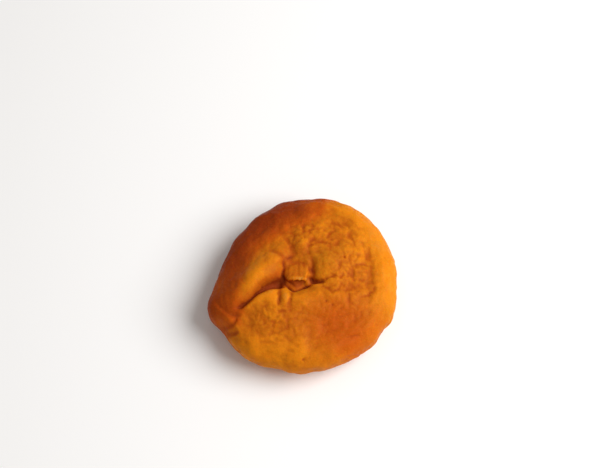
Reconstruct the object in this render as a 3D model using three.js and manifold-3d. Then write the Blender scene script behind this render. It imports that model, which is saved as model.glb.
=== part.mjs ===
// A dried peach: a whole fruit with its stone taken out, dried flat into a thick wrinkled cushion.
//
// Millimetres, +Z up. The fruit lies on its flattened back with the stem end up. The stem-end nub
// points to -Y, which is the front. The origin is on the resting surface, under the middle of the
// fruit's bounding box.
//
// The fruit is one piece of flesh, so it is one solid: a ball whose points are moved by skinPoint(),
// with the nub joined to it.
import * as THREE from "three";
import { mergeVertices } from "three/addons/utils/BufferGeometryUtils.js";
import Module from "manifold-3d";

// Driving dimensions of the cushion.
const EQUATOR_HEIGHT = 8.4; // height of the widest line above the resting surface
const CROWN_RISE = 7.6; // from the widest line up to the middle of the uncreased top
const BACK_DROP = 8.9; // from the widest line down to the back, before the back is pressed flat
const EDGE_ROUNDNESS = 0.86; // 1 is an ellipsoid, less is a squarer edge
const CROWN_ROUNDNESS = 0.72;

// Mesh of the body: a box blown up to a ball, with this many steps along each of its edges.
const BODY_STEPS = 31;

// The outline seen from above, as [degrees anticlockwise from +X, radius]. It is fullest at the right
// and the back, and comes to a blunt point at the left end.
const OUTLINE = [
  [0, 26.5],
  [18, 27.0],
  [38, 27.5],
  [60, 27.3],
  [80, 26.0],
  [98, 25.3],
  [115, 24.0],
  [130, 23.2],
  [146, 22.7],
  [158, 22.3],
  [172, 23.5],
  [188, 25.2],
  [197, 26.8],
  [210, 25.5],
  [222, 25.5],
  [236, 26.0],
  [250, 25.3],
  [264, 25.5],
  [290, 25.5],
  [306, 25.5],
  [324, 26.0],
  [341, 27.0],
];

// Mounds of the top, and hollows where the rise is negative: middle, half-length along and across the
// mound, how far it is turned anticlockwise from +X in degrees, and its rise.
const TOP_MOUNDS = [
  { name: "middle hollow", x: -1.2, y: 1.0, along: 6.5, across: 7.5, turn: 0, rise: -1.2 },
  { name: "left lobe", x: -11.4, y: 0.4, along: 9.0, across: 3.7, turn: 44, rise: 3.0 },
  { name: "front lip", x: 1.0, y: -8.0, along: 14.0, across: 4.2, turn: 4, rise: 1.5 },
  { name: "right lobe", x: 8.0, y: 4.6, along: 6.0, across: 5.0, turn: 20, rise: 1.3 },
  { name: "back ridge to the nub", x: 0.3, y: 8.0, along: 2.8, across: 5.0, turn: 0, rise: 1.1 },
  { name: "finger fold", x: -4.3, y: -6.4, along: 1.2, across: 2.6, turn: 4, rise: 0.7 },
  { name: "knuckle", x: -8.4, y: -6.2, along: 2.4, across: 2.2, turn: 20, rise: 0.5 },
  { name: "front dip", x: 8.0, y: -13.5, along: 8.0, across: 4.6, turn: 8, rise: -0.8 },
  { name: "first left bump", x: -20.2, y: -12.0, along: 2.4, across: 1.7, turn: -25, rise: 0.7 },
  { name: "second left bump", x: -18.6, y: -13.9, along: 2.6, across: 1.8, turn: -25, rise: 0.5 },
];

// The flat bed that the nub lies in: middle, half-lengths and depth.
const NUB_BED = { x: -0.8, y: -1.3, halfX: 3.9, halfY: 4.0, depth: 1.4 };

// The rolled edge on the right of the top: share of the outline's radius, width, rise, and the middle
// and half-span in degrees.
const EDGE_ROLL = { at: 0.88, width: 2.8, rise: 0.5, middle: 12, span: 95 };

// Soft valleys and folds of the top, as points on the plan, with their depth and half-width. Where two
// meet, the deeper one wins.
const FOLDS = [
  {
    name: "stem fold, left",
    points: [[-18.6, -9.7], [-15.3, -8.1], [-12.2, -5.2], [-8.8, -3.0], [-5.4, -2.2], [-3.8, -2.3]],
    depth: 3.1,
    width: 1.7,
  },
  {
    name: "stem fold, under the nub",
    points: [[-4.9, -0.8], [-4.3, -2.2], [-1.7, -4.3], [1.9, -2.6], [3.2, -1.8]],
    depth: 2.4,
    width: 1.3,
  },
  {
    name: "stem fold, right",
    points: [[1.2, -1.2], [4.0, -1.6], [6.9, -2.1]],
    depth: 1.8,
    width: 1.3,
  },
  {
    name: "right lobe's front",
    points: [[4.4, -1.4], [8.0, -0.8], [10.2, -0.2]],
    depth: 0.8,
    width: 1.3,
  },
  {
    name: "left lobe's back",
    points: [[-9.4, 7.4], [-5.6, 5.6], [-4.4, 4.7], [-1.6, 5.8]],
    depth: 0.6,
    width: 1.6,
  },
  {
    name: "nub's left side",
    points: [[-4.7, 5.4], [-4.7, 0.6], [-4.9, -3.4]],
    depth: 1.7,
    width: 1.3,
  },
  {
    name: "left lobe's end",
    points: [[-4.8, 2.6], [-5.2, 0.8], [-6.6, -2.6]],
    depth: 1.9,
    width: 1.4,
  },
  {
    name: "nub's right side",
    points: [[2.2, 5.8], [3.2, 2.4], [3.4, -1.4]],
    depth: 0.8,
    width: 1.3,
  },
  {
    name: "ridge's left side",
    points: [[-5.2, 12.2], [-2.9, 8.8], [-1.4, 5.8]],
    depth: 0.45,
    width: 1.4,
  },
  {
    name: "ridge's right side",
    points: [[4.2, 12.4], [2.3, 8.8], [2.2, 5.6]],
    depth: 0.45,
    width: 1.4,
  },
  {
    name: "finger's left side",
    points: [[-5.8, -3.2], [-5.9, -7.0], [-6.3, -9.6]],
    depth: 0.5,
    width: 1.2,
  },
  {
    name: "finger's right side",
    points: [[-3.0, -4.6], [-2.7, -6.2], [-3.8, -9.4]],
    depth: 0.6,
    width: 1.2,
  },
  {
    name: "left end, first tuck",
    points: [[-24.4, -6.2], [-20.8, -9.6], [-17.8, -11.4], [-16.2, -11.0]],
    depth: 0.5,
    width: 1.6,
  },
  {
    name: "left end, second tuck",
    points: [[-23.4, -12.8], [-19.4, -14.0], [-17.3, -11.6]],
    depth: 0.5,
    width: 1.5,
  },
  {
    name: "left end, third tuck",
    points: [[-22.2, -14.4], [-19.0, -15.9], [-16.6, -15.7]],
    depth: 0.5,
    width: 1.5,
  },
  {
    name: "valley above the left lobe",
    points: [[-20.5, -1.0], [-16.7, 5.5], [-5.4, 6.5]],
    depth: 0.5,
    width: 2.4,
  },
  {
    name: "groove inside the edge",
    points: [[10.2, 19.0], [18.8, 3.0], [16.5, -8.0]],
    depth: 0.3,
    width: 1.2,
  },
];

// Shallow puckers all round the sides and the back, as waves of this many per turn.
const PUCKERS = [
  { perTurn: 11, rise: 0.28, lean: 1.1, phase: 0.4 },
  { perTurn: 17, rise: 0.2, lean: -1.6, phase: 2.1 },
];

// The seam of the fruit across its back, from the front edge to the middle.
const BACK_SEAM = { x: 1.5, width: 1.6, depth: 1.3 };

// The nub: a short squared barrel of torn flesh at the stem end. Its torn end slopes forward from its
// upper edge to a blunt point.
const NUB = {
  radius: 4.3,
  length: 9.4,
  flatness: 0.8, // height over width
  squareness: 0.82, // 1 is a round barrel, less is a squarer one
  tip: [-0.75, -2.2, 12.8], // middle of the torn end
  rise: 1, // degrees that the torn end points above the horizon
  tornSlope: 1.45, // how far the torn end comes forward per millimetre below its upper edge
  tornHollow: 0.45,
  pointX: -0.55, // where the blunt point is, across from the middle
  pointSlope: 1.2,
};
const NUB_STEPS_ROUND = 28;

// 0 below from, 1 above to, smooth between.
function fade(value, from, to) {
  return THREE.MathUtils.smoothstep(value, from, to);
}

// A bell of height 1 that falls to nothing at about 2.5 widths.
function bell(distance, width) {
  return Math.exp(-((distance / width) ** 2));
}

const outlineCurve = new THREE.CatmullRomCurve3(
  OUTLINE.map(([degrees, radius]) => {
    const angle = THREE.MathUtils.degToRad(degrees);
    return new THREE.Vector3(radius * Math.cos(angle), radius * Math.sin(angle), 0);
  }),
  true,
);
const outlinePoints = outlineCurve.getPoints(360).map((p) => ({
  angle: Math.atan2(p.y, p.x),
  radius: Math.hypot(p.x, p.y),
}));
outlinePoints.pop(); // the last point repeats the first
outlinePoints.sort((a, b) => a.angle - b.angle);

// The outline's radius in the direction of an angle.
function outlineRadius(angle) {
  const count = outlinePoints.length;
  let next = outlinePoints.findIndex((p) => p.angle >= angle);
  if (next < 0) next = 0;
  const before = outlinePoints[(next + count - 1) % count];
  const after = outlinePoints[next];
  const turn = 2 * Math.PI;
  const gap = (after.angle - before.angle + turn) % turn;
  const share = ((angle - before.angle + turn) % turn) / gap;
  return THREE.MathUtils.lerp(before.radius, after.radius, share);
}

function moundRise(mound, x, y) {
  const turn = THREE.MathUtils.degToRad(mound.turn);
  const dx = x - mound.x;
  const dy = y - mound.y;
  const u = (dx * Math.cos(turn) + dy * Math.sin(turn)) / mound.along;
  const v = (dy * Math.cos(turn) - dx * Math.sin(turn)) / mound.across;
  return mound.rise * bell(Math.hypot(u, v), 1);
}

// A ring that follows the outline over part of a turn.
function ringRise(ring, angle, radiusShare, outline) {
  const middle = THREE.MathUtils.degToRad(ring.middle);
  const away = Math.abs(Math.atan2(Math.sin(angle - middle), Math.cos(angle - middle)));
  const span = THREE.MathUtils.degToRad(ring.span);
  const nearRing = bell((radiusShare - ring.at) * outline, ring.width);
  return ring.rise * nearRing * (1 - fade(away, span * 0.55, span));
}

const foldLines = FOLDS.map((fold) => {
  const knots = fold.points.map(([x, y]) => new THREE.Vector3(x, y, 0));
  return { ...fold, line: new THREE.CatmullRomCurve3(knots).getPoints(32) };
});

// How far a fold sinks the skin: deepest along its line, and running out at both ends.
function foldSink(fold, x, y) {
  const last = fold.line.length - 1;
  let nearest = Infinity;
  let along = 0;
  for (let i = 0; i <= last; i++) {
    const distance = Math.hypot(fold.line[i].x - x, fold.line[i].y - y);
    if (distance < nearest) {
      nearest = distance;
      along = i / last;
    }
  }
  const runOut = Math.sqrt(Math.max(0.12, Math.sin(Math.PI * along)));
  return fold.depth * runOut * bell(nearest, fold.width);
}

function nubBedSink(x, y) {
  const across = (x - NUB_BED.x) / NUB_BED.halfX;
  const along = (y - NUB_BED.y) / NUB_BED.halfY;
  return NUB_BED.depth * Math.exp(-(across ** 4) - along ** 4);
}

// Where the fruit's skin lies in a direction: round is the angle about Z, and down the angle from the top.
function skinPoint(round, down) {
  const outline = outlineRadius(round);
  const radiusShare = Math.sin(down) ** EDGE_ROUNDNESS;
  const heightShare = Math.sign(Math.cos(down)) * Math.abs(Math.cos(down)) ** CROWN_ROUNDNESS;
  let radius = outline * radiusShare;
  const x = radius * Math.cos(round);
  const y = radius * Math.sin(round);

  const onTop = fade(heightShare, 0.1, 0.62);
  const onBack = 1 - fade(heightShare, -0.7, 0.1);
  const onSide = 1 - Math.abs(heightShare);
  let height = EQUATOR_HEIGHT + heightShare * (heightShare > 0 ? CROWN_RISE : BACK_DROP);

  if (onTop > 0) {
    let rise = ringRise(EDGE_ROLL, round, radiusShare, outline) - nubBedSink(x, y);
    for (const mound of TOP_MOUNDS) rise += moundRise(mound, x, y);
    const folded = foldLines.reduce((sum, fold) => sum + foldSink(fold, x, y) ** 4, 0);
    height += (rise - folded ** 0.25) * onTop;
  }

  const nearSeam = bell(x - BACK_SEAM.x, BACK_SEAM.width) * (1 - fade(y, -6, 4));
  height += onBack * nearSeam * BACK_SEAM.depth;

  for (const pucker of PUCKERS) {
    const wave = Math.cos(pucker.perTurn * round + pucker.lean * down + pucker.phase);
    radius += pucker.rise * wave * onSide * radiusShare;
    height += pucker.rise * wave * onBack * radiusShare;
  }
  return new THREE.Vector3(radius * Math.cos(round), radius * Math.sin(round), Math.max(0, height));
}

// A closed geometry with one vertex where several met, as manifold-3d wants it.
function weld(geometry) {
  geometry.deleteAttribute("normal");
  geometry.deleteAttribute("uv");
  return mergeVertices(geometry, 1e-4);
}

function bodyGeometry() {
  const geometry = weld(new THREE.BoxGeometry(2, 2, 2, BODY_STEPS, BODY_STEPS, BODY_STEPS));
  const position = geometry.getAttribute("position");
  // Equal turns between the lines of the box's grid keep its squares alike over the ball.
  const turned = (value) => Math.tan((value * Math.PI) / 4);
  const direction = new THREE.Vector3();
  for (let i = 0; i < position.count; i++) {
    direction.fromBufferAttribute(position, i);
    direction.set(turned(direction.x), turned(direction.y), turned(direction.z)).normalize();
    const down = Math.acos(THREE.MathUtils.clamp(direction.z, -1, 1));
    const point = skinPoint(Math.atan2(direction.y, direction.x), down);
    position.setXYZ(i, point.x, point.y, point.z);
  }
  return geometry;
}

// Moves a point of the plain barrel, whose axis is +Y and whose front is at 0: squares it, and slopes
// its torn end.
function nubPoint(point) {
  const radius = Math.hypot(point.x, point.z);
  const across = radius > 0 ? point.x / radius : 0;
  const upward = radius > 0 ? point.z / radius : 0;
  const x = radius * Math.sign(across) * Math.abs(across) ** NUB.squareness;
  const z = radius * NUB.flatness * Math.sign(upward) * Math.abs(upward) ** NUB.squareness;
  const below = THREE.MathUtils.clamp(2.4 - z, 0, 3.4);
  const beside = Math.min(NUB.pointSlope * Math.abs(x - NUB.pointX), 3);
  const slope = 1 - NUB.tornSlope * below + beside * Math.min(below / 1.9, 1);
  const nearEnd = 1 - fade(point.y, 0.8, 4);
  return new THREE.Vector3(x, point.y + nearEnd * slope, z);
}

function nubGeometry() {
  const { radius, length, tornHollow } = NUB;
  // The profile runs from the back of the nub to the middle of its torn end, as [radius, distance
  // from the tip].
  const profile = [
    [0, length],
    [radius * 0.5, length * 0.93],
    [radius * 0.76, length * 0.72],
    [radius * 0.92, length * 0.56],
    [radius, length * 0.4],
    [radius, length * 0.2],
    [radius * 0.9, length * 0.07],
    [radius * 0.76, 0],
    [radius * 0.55, tornHollow * 0.7],
    [radius * 0.3, tornHollow],
    [0, tornHollow],
  ];
  const lathe = new THREE.LatheGeometry(
    profile.map(([r, back]) => new THREE.Vector2(r, back)).reverse(),
    NUB_STEPS_ROUND,
  );
  const barrel = weld(lathe);
  const position = barrel.getAttribute("position");
  const point = new THREE.Vector3();
  for (let i = 0; i < position.count; i++) {
    point.fromBufferAttribute(position, i);
    const moved = nubPoint(point);
    position.setXYZ(i, moved.x, moved.y, moved.z);
  }
  barrel.rotateX(-THREE.MathUtils.degToRad(NUB.rise));
  barrel.translate(...NUB.tip);
  return barrel;
}

const wasm = await Module();
wasm.setup();

function solidOf(geometry) {
  return new wasm.Manifold(
    new wasm.Mesh({
      numProp: 3,
      vertProperties: new Float32Array(geometry.getAttribute("position").array),
      triVerts: new Uint32Array(geometry.index.array),
    }),
  );
}

function geometryOf(solid) {
  const mesh = solid.getMesh();
  const geometry = new THREE.BufferGeometry();
  geometry.setAttribute("position", new THREE.BufferAttribute(mesh.vertProperties, 3));
  geometry.setIndex(new THREE.BufferAttribute(mesh.triVerts, 1));
  geometry.computeVertexNormals();
  return geometry;
}

// Moves the geometry so that the middle of its bounding box stands over the origin.
function centreOnOrigin(geometry) {
  geometry.computeBoundingBox();
  const middle = geometry.boundingBox.getCenter(new THREE.Vector3());
  return geometry.translate(-middle.x, -middle.y, 0);
}

const flesh = new THREE.MeshStandardMaterial({ color: 0xcf7418, roughness: 0.5, metalness: 0 });
const fruit = solidOf(bodyGeometry()).add(solidOf(nubGeometry()));
const driedPeach = new THREE.Mesh(centreOnOrigin(geometryOf(fruit)), flesh);
driedPeach.name = "dried_peach";

const peach = new THREE.Group();
peach.add(driedPeach);

export default peach;
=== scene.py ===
import math
from typing import NamedTuple

import bmesh
import bpy
import numpy as np
from mathutils import Matrix, Vector, noise


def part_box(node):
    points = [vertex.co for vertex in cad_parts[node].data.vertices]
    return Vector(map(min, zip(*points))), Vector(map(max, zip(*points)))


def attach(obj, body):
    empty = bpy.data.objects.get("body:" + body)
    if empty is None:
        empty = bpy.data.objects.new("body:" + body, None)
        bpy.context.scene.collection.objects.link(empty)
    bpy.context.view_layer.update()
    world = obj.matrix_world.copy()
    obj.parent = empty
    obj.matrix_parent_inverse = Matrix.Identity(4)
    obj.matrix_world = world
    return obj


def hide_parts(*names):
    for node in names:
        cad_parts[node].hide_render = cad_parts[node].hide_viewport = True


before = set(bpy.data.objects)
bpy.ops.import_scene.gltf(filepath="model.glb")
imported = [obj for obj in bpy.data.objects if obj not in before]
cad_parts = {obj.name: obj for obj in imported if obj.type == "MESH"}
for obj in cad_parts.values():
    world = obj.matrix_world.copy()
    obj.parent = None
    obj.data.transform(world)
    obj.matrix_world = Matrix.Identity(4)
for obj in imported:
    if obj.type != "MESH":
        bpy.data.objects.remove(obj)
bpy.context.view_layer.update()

bl_info = {
    "name": "Dried Peach",
    "version": (1, 0, 0),
    "blender": (4, 5, 0),
    "location": "View3D > Sidebar > Dried Peach",
    "description": "Makes a dried peach with its folds, wrinkles and torn stem end",
    "category": "Add Mesh",
}

NODE = "dried_peach"
LOW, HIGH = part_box(NODE)
# The shape is worked out in millimetres, as its solid is, and becomes metres at the end.
MM = 0.001

# Every noise has a number of its own, so that no two run alike.
TEAR_NOISE, SHRED_NOISE, FIBRE_NOISE = 1, 2, 3
GROWTH_NOISE, SPACING_NOISE = 4, 5
LUMP_NOISE, KNOB_NOISE = 9, 10
WAVER_X_NOISE, WAVER_Y_NOISE, GAP_NOISE = 11, 12, 13
SHADE_NOISE, SHADE_EDGE_NOISE = 14, 15
NET_NOISE, NET_GAP_NOISE = 20, 40
CRUMB_NOISE = 60
SIDE_WAVER_NOISE, SIDE_GAP_NOISE = 70, 90
SHRIVEL_SEED = 5


def fade(value, start, end):
    """0 at start and before, 1 at end and after, smooth between."""
    share = np.clip((value - start) / (end - start), 0.0, 1.0)
    return share * share * (3.0 - 2.0 * share)


def bell(distance, width):
    """1 at no distance, about a third at the width, next to nothing at twice that."""
    return np.exp(-((distance / width) ** 2))


def patch(x, y, middle_x, middle_y, half_x, half_y):
    """A soft oval patch on the plan, 1 in its middle."""
    return bell(np.hypot((x - middle_x) / half_x, (y - middle_y) / half_y), 1.0)


def patches_of(patches, x, y):
    """The sum of a table of patches, each with its strength."""
    return sum(strength * patch(x, y, *oval) for *oval, strength in patches)


def degrees_from(angle, middle):
    """How far an angle in radians lies from a middle in degrees, from -180 to 180."""
    return (np.degrees(angle) - middle + 180) % 360 - 180


def ripple_of(seed, *points):
    """Smooth noise between about -1 and 1 at each point, with ripples 1 wide."""
    offset = Vector((seed * 13.1, seed * 7.7, seed * 3.3))
    return np.array([noise.noise(Vector(point) + offset) for point in zip(*points)])


def ripple_at(seed, size, co):
    """The same noise at rows of x, y, z, with ripples as wide as size."""
    return ripple_of(seed, *(co.T / size))


def smooth_line(points, steps=8):
    """A curve through the points, as an array of short steps (Catmull-Rom)."""
    knots = np.array([points[0], *points, points[-1]], float)
    t = np.linspace(0, 1, steps, endpoint=False)[:, None]
    parts = []
    for a, b, c, d in zip(knots, knots[1:], knots[2:], knots[3:]):
        bend = 2 * a - 5 * b + 4 * c - d
        twist = 3 * b - a - 3 * c + d
        parts.append(0.5 * (2 * b + (c - a) * t + bend * t**2 + twist * t**3))
    return np.vstack([*parts, knots[-1:]])


def line_distance(points, x, y):
    """How each x, y lies to a line: distance, side (1 is left, -1 is right), share along it."""
    line = smooth_line(points)
    best = np.full(len(x), np.inf)
    side = np.zeros(len(x))
    along = np.zeros(len(x))
    count = len(line) - 1
    for i, ((ax, ay), (bx, by)) in enumerate(zip(line, line[1:])):
        ux, uy = bx - ax, by - ay
        square = max(ux * ux + uy * uy, 1e-9)
        t = np.clip(((x - ax) * ux + (y - ay) * uy) / square, 0, 1)
        dx, dy = x - ax - t * ux, y - ay - t * uy
        distance = np.hypot(dx, dy)
        nearer = distance < best
        best[nearer] = distance[nearer]
        side[nearer] = np.sign(ux * dy - uy * dx)[nearer]
        along[nearer] = ((i + t) / count)[nearer]
    return best, side, along


def run_out(along, start=0.18, end=0.18):
    """1 along the middle of a crease, falling to 0 over a share of it at either end."""
    return fade(along, -0.01, start) * (1 - fade(along, 1 - end, 1.01))


def rolled(distance, reach):
    """How far skin rolls down near a crease: 1 in it, where it is steepest, 0 past its reach."""
    near = np.clip(1 - distance / reach, 0, 0.995)
    return 1 - np.sqrt(1 - near * near)


# The cushion of flesh: the height of its widest line, how far its top rises and its back drops from there,
# and powers that square its edge and its crown (1 is a ball's).
EQUATOR_HEIGHT, CROWN_RISE, BACK_DROP = 8.4, 7.6, 8.9
EDGE_ROUNDNESS, CROWN_ROUNDNESS = 0.86, 0.72
TOP_SETS_IN = (0.1, 0.62)  # shares of the crown's rise between which the shapes of the top set in
BODY_CUTS = 104

# The outline from above: degrees anticlockwise from +X, radius.
OUTLINE = [
    (0, 26.5), (18, 27.0), (38, 27.5), (60, 27.5), (80, 26.0), (98, 25.5), (115, 24.0), (130, 23.0),
    (146, 22.8), (158, 22.0), (180, 24.0), (188, 24.8), (197, 27.8), (210, 25.5), (222, 25.5),
    (236, 26.5), (250, 25.0), (264, 25.5), (290, 25.5), (306, 25.5), (320, 26.3), (330, 26.0),
    (341, 27.3),
]
OUTLINE_STEP = 2  # degrees
OUTLINE_SOFTNESS = 2.5  # steps
OUTLINE_REACH = 5

# Mounds and hollows of the top: middle, half-length along and across, turn from +X in degrees, rise.
MOUNDS = [
    (-1.2, 1.0, 6.5, 7.5, 0, -1.2),  # the hollow round the nub
    (-11.4, 0.4, 9.0, 3.7, 44, 3.0),  # the left lobe
    (1.0, -8.0, 14.0, 4.2, 4, 1.5),  # the lip in front of the stem fold
    (8.0, 4.6, 6.0, 5.0, 20, 1.3),  # the right lobe
    (0.3, 8.0, 2.8, 5.0, 0, 1.1),  # the ridge that runs down into the nub
    (-4.3, -6.4, 1.2, 2.6, 4, 0.7),  # the finger fold
    (-8.4, -6.2, 2.4, 2.2, 20, 0.5),  # the knuckle beside it
    (8.0, -13.5, 8.0, 4.6, 8, -0.8),  # the dip in the front
    (-20.2, -12.0, 2.4, 1.7, -25, 0.7),  # the first of two bumps on the left end
    (-18.6, -13.9, 2.6, 1.8, -25, 0.5),  # the second
]
# The steep-sided bed that the nub lies in: middle, half-lengths, depth.
NUB_BED = (-0.8, -1.3, 3.9, 4.0, 1.4)

# The ring inside the outline: share of its radius, width, middle and half-span in degrees, and rise.
RING = (0.88, 2.8, 12, 95, 0.5)
# The share of its half-span after which it fades out.
RING_FADES = 0.55

# Soft valleys of the top: points on the plan, depth, width.
SWALES = [
    ([(-20.5, -1.0), (-18.0, 2.5), (-16.7, 5.5), (-14.2, 7.8), (-11.5, 8.5), (-8.1, 7.7), (-5.4, 6.5)],
     0.5, 2.4),
    ([(16.6, 11.0), (18.0, 7.5), (18.8, 3.0), (18.8, -2.0), (18.2, -6.2), (16.5, -8.0)], 0.25, 1.2),
]


class Fold(NamedTuple):
    """A deep fold, along points on the plan."""

    points: list
    depth: float
    left: float  # from how far out the flesh rolls down into it on its left
    right: float  # and on its right
    # A fold's darkness is partly its deeper colour, partly painted shade.
    stain_and_shade: float  # how deep its colour is
    overhang: float = 0.0  # how far its left side hangs over it
    floor: float = 0.0  # half the width of its floor, towards its end


FOLDS = [
    Fold([(-18.8, -9.7), (-17.2, -9.2), (-15.4, -8.1), (-13.6, -6.6), (-12.2, -5.2), (-10.6, -4.0),
          (-8.8, -3.0), (-7.0, -2.4), (-5.4, -2.2), (-3.8, -2.3)], 3.2, 4.2, 1.6, 0.45, 0.6, 1.0),
    Fold([(-4.9, -0.8), (-4.3, -2.2), (-3.2, -3.4), (-1.7, -4.3), (0.3, -3.5), (1.9, -2.6), (3.2, -1.8)],
         2.4, 1.3, 1.4, 0.33),
    Fold([(6.9, -2.1), (5.4, -1.9), (4.0, -1.6), (2.4, -1.2), (1.2, -1.2)], 1.8, 1.3, 2.4, 0.27, floor=0.6),
    Fold([(4.4, -1.4), (6.2, -1.4), (8.0, -0.8), (10.2, -0.2)], 0.8, 2.0, 1.4, 0.15),
    Fold([(-9.4, 7.4), (-7.2, 6.6), (-5.6, 5.6), (-4.4, 4.7), (-3.0, 5.2), (-1.6, 5.8)],
         0.6, 2.4, 2.4, 0.2),
    Fold([(-4.7, 5.4), (-4.7, 3.0), (-4.7, 0.6), (-4.8, -1.6), (-4.9, -3.4)], 1.7, 1.0, 2.8, 0.26),
    Fold([(-4.8, 2.6), (-5.2, 0.8), (-5.8, -1.0), (-6.6, -2.6)], 2.1, 1.2, 3.2, 0.3, floor=0.2),
    Fold([(-5.2, 12.2), (-3.9, 10.6), (-2.9, 8.8), (-2.1, 7.2), (-1.4, 5.8)], 0.45, 2.0, 1.8, 0.1),
    Fold([(4.2, 12.4), (3.2, 10.4), (2.3, 8.8), (1.9, 7.2), (2.2, 5.6)], 0.45, 1.8, 2.2, 0.1),
    Fold([(2.2, 5.8), (2.9, 4.2), (3.2, 2.4), (3.3, 0.4), (3.4, -1.4)], 0.8, 2.4, 1.0, 0.15),
    Fold([(-24.4, -6.2), (-22.6, -7.8), (-20.8, -9.6), (-19.2, -10.9), (-17.8, -11.4), (-16.2, -11.0)],
         0.5, 3.0, 2.4, 0.5),
    Fold([(-23.4, -12.8), (-21.4, -14.0), (-19.4, -14.0), (-18.0, -13.0), (-17.3, -11.6)],
         0.8, 2.0, 0.9, 0.45),
    Fold([(-22.2, -14.4), (-20.6, -15.3), (-19.0, -15.9), (-16.6, -15.7)], 0.8, 1.8, 0.9, 0.45),
    Fold([(-5.8, -3.2), (-5.9, -5.2), (-5.9, -7.0), (-6.3, -9.6)], 0.6, 0.8, 0.9, 0.3),
    Fold([(-3.0, -4.6), (-2.7, -6.2), (-3.0, -7.8), (-3.8, -9.4)], 0.7, 0.9, 0.9, 0.2),
]
FLOOR_WIDENS = (0.2, 0.85)  # shares of a fold's length
FOLD_START = 0.25  # the share of its length over which it begins
END_REACH = 0.4  # the share of its sides' reach that is left at its ends
# Where folds cross, their depths join by this power: the deeper one wins, and no hole is left.
CROSSING_POWER = 4
# The overhang bulges most at this distance from its fold, over this width.
OVERHANG_AT, OVERHANG_WIDTH = 1.8, 1.6


def outline_radius(angle):
    """The softened outline's radius at each angle in radians."""
    degrees = np.arange(0, 360, OUTLINE_STEP)
    knots, radii = zip(*OUTLINE)
    radius = np.interp(degrees, knots, radii, period=360)
    weights = bell(np.arange(-OUTLINE_REACH, OUTLINE_REACH + 1), OUTLINE_SOFTNESS)
    softened = np.convolve(np.tile(radius, 3), weights / weights.sum(), "same")
    softened = softened[len(degrees): 2 * len(degrees)]
    return np.interp(np.degrees(angle) % 360, degrees, softened, period=360)


def mound_rise(mound, x, y):
    """How far a mound lifts each x, y, or a hollow lowers it."""
    middle_x, middle_y, along, across, turn, rise = mound
    turn = math.radians(turn)
    dx, dy = x - middle_x, y - middle_y
    u = (dx * math.cos(turn) + dy * math.sin(turn)) / along
    v = (dy * math.cos(turn) - dx * math.sin(turn)) / across
    return rise * np.exp(-(u * u + v * v))


def ring_rise(angle, share, outline):
    """How far the ring lifts each point, whose share of the outline's radius is known."""
    at, width, middle, span, rise = RING
    away = np.abs(degrees_from(angle, middle))
    return rise * bell((share - at) * outline, width) * (1 - fade(away, span * RING_FADES, span))


def soft_rise(x, y, angle, share, outline):
    """How far the mounds, the ring, the nub's bed and the valleys lift each point of the top."""
    rise = sum(mound_rise(mound, x, y) for mound in MOUNDS)
    rise += ring_rise(angle, share, outline)
    bed_x, bed_y, half_x, half_y, depth = NUB_BED
    rise -= depth * np.exp(-(((x - bed_x) / half_x) ** 4) - ((y - bed_y) / half_y) ** 4)
    for points, depth, width in SWALES:
        distance, _, along = line_distance(points, x, y)
        rise -= depth * run_out(along, 0.3, 0.3) * bell(distance, width)
    return rise


def fold_distance(fold, x, y):
    """How each x, y lies to a fold's floor: distance, side, share along it."""
    distance, side, along = line_distance(fold.points, x, y)
    return np.maximum(distance - fold.floor * fade(along, *FLOOR_WIDENS), 0.0), side, along


def fold_skin(x, y, on_top):
    """The deep folds: how far each point sinks, and how far an overhang moves it in X and Y."""
    sunk = np.zeros(len(x))
    shift_x = np.zeros(len(x))
    shift_y = np.zeros(len(x))
    for fold in FOLDS:
        distance, side, along = fold_distance(fold, x, y)
        ends = run_out(along, FOLD_START)
        reach = np.where(side > 0, fold.left, fold.right) * (END_REACH + (1 - END_REACH) * ends)
        sunk += (ends * fold.depth * rolled(distance, reach)) ** CROSSING_POWER
        if fold.overhang:
            line = smooth_line(fold.points)
            heading = line[-1] - line[0]
            heading /= np.hypot(*heading)
            push = fold.overhang * ends * (side > 0) * bell(distance - OVERHANG_AT, OVERHANG_WIDTH) * on_top
            shift_x += push * heading[1]
            shift_y -= push * heading[0]
    return sunk ** (1 / CROSSING_POWER), shift_x, shift_y


def skin_points(directions):
    """Where the cushion's skin lies, in the direction of each unit vector."""
    angle = np.arctan2(directions[:, 1], directions[:, 0])
    sine = np.hypot(directions[:, 0], directions[:, 1])
    cosine = directions[:, 2]
    outline = outline_radius(angle)
    share = sine**EDGE_ROUNDNESS
    height_share = np.sign(cosine) * np.abs(cosine) ** CROWN_ROUNDNESS
    x = outline * share * np.cos(angle)
    y = outline * share * np.sin(angle)
    z = EQUATOR_HEIGHT + height_share * np.where(height_share > 0, CROWN_RISE, BACK_DROP)
    on_top = fade(height_share, *TOP_SETS_IN)
    sunk, shift_x, shift_y = fold_skin(x, y, on_top)
    z += (soft_rise(x, y, angle, share, outline) - sunk) * on_top
    return np.column_stack([x + shift_x, y + shift_y, np.maximum(z, 0.0)])


def points_of(verts):
    return np.array([vert.co for vert in verts])


def move_points(verts, places):
    for vert, place in zip(verts, places):
        vert.co = place


def make_body(flesh):
    """The cushion: a cube of small squares, blown up to a ball and moved to the skin."""
    bmesh.ops.create_cube(flesh, size=2.0)
    bmesh.ops.subdivide_edges(flesh, edges=flesh.edges[:], cuts=BODY_CUTS, use_grid_fill=True)
    # Equal turns between the lines of the grid keep its squares alike over the ball.
    corners = np.tan(points_of(flesh.verts) * math.pi / 4)
    directions = corners / np.linalg.norm(corners, axis=1, keepdims=True)
    move_points(flesh.verts, skin_points(directions))


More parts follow.
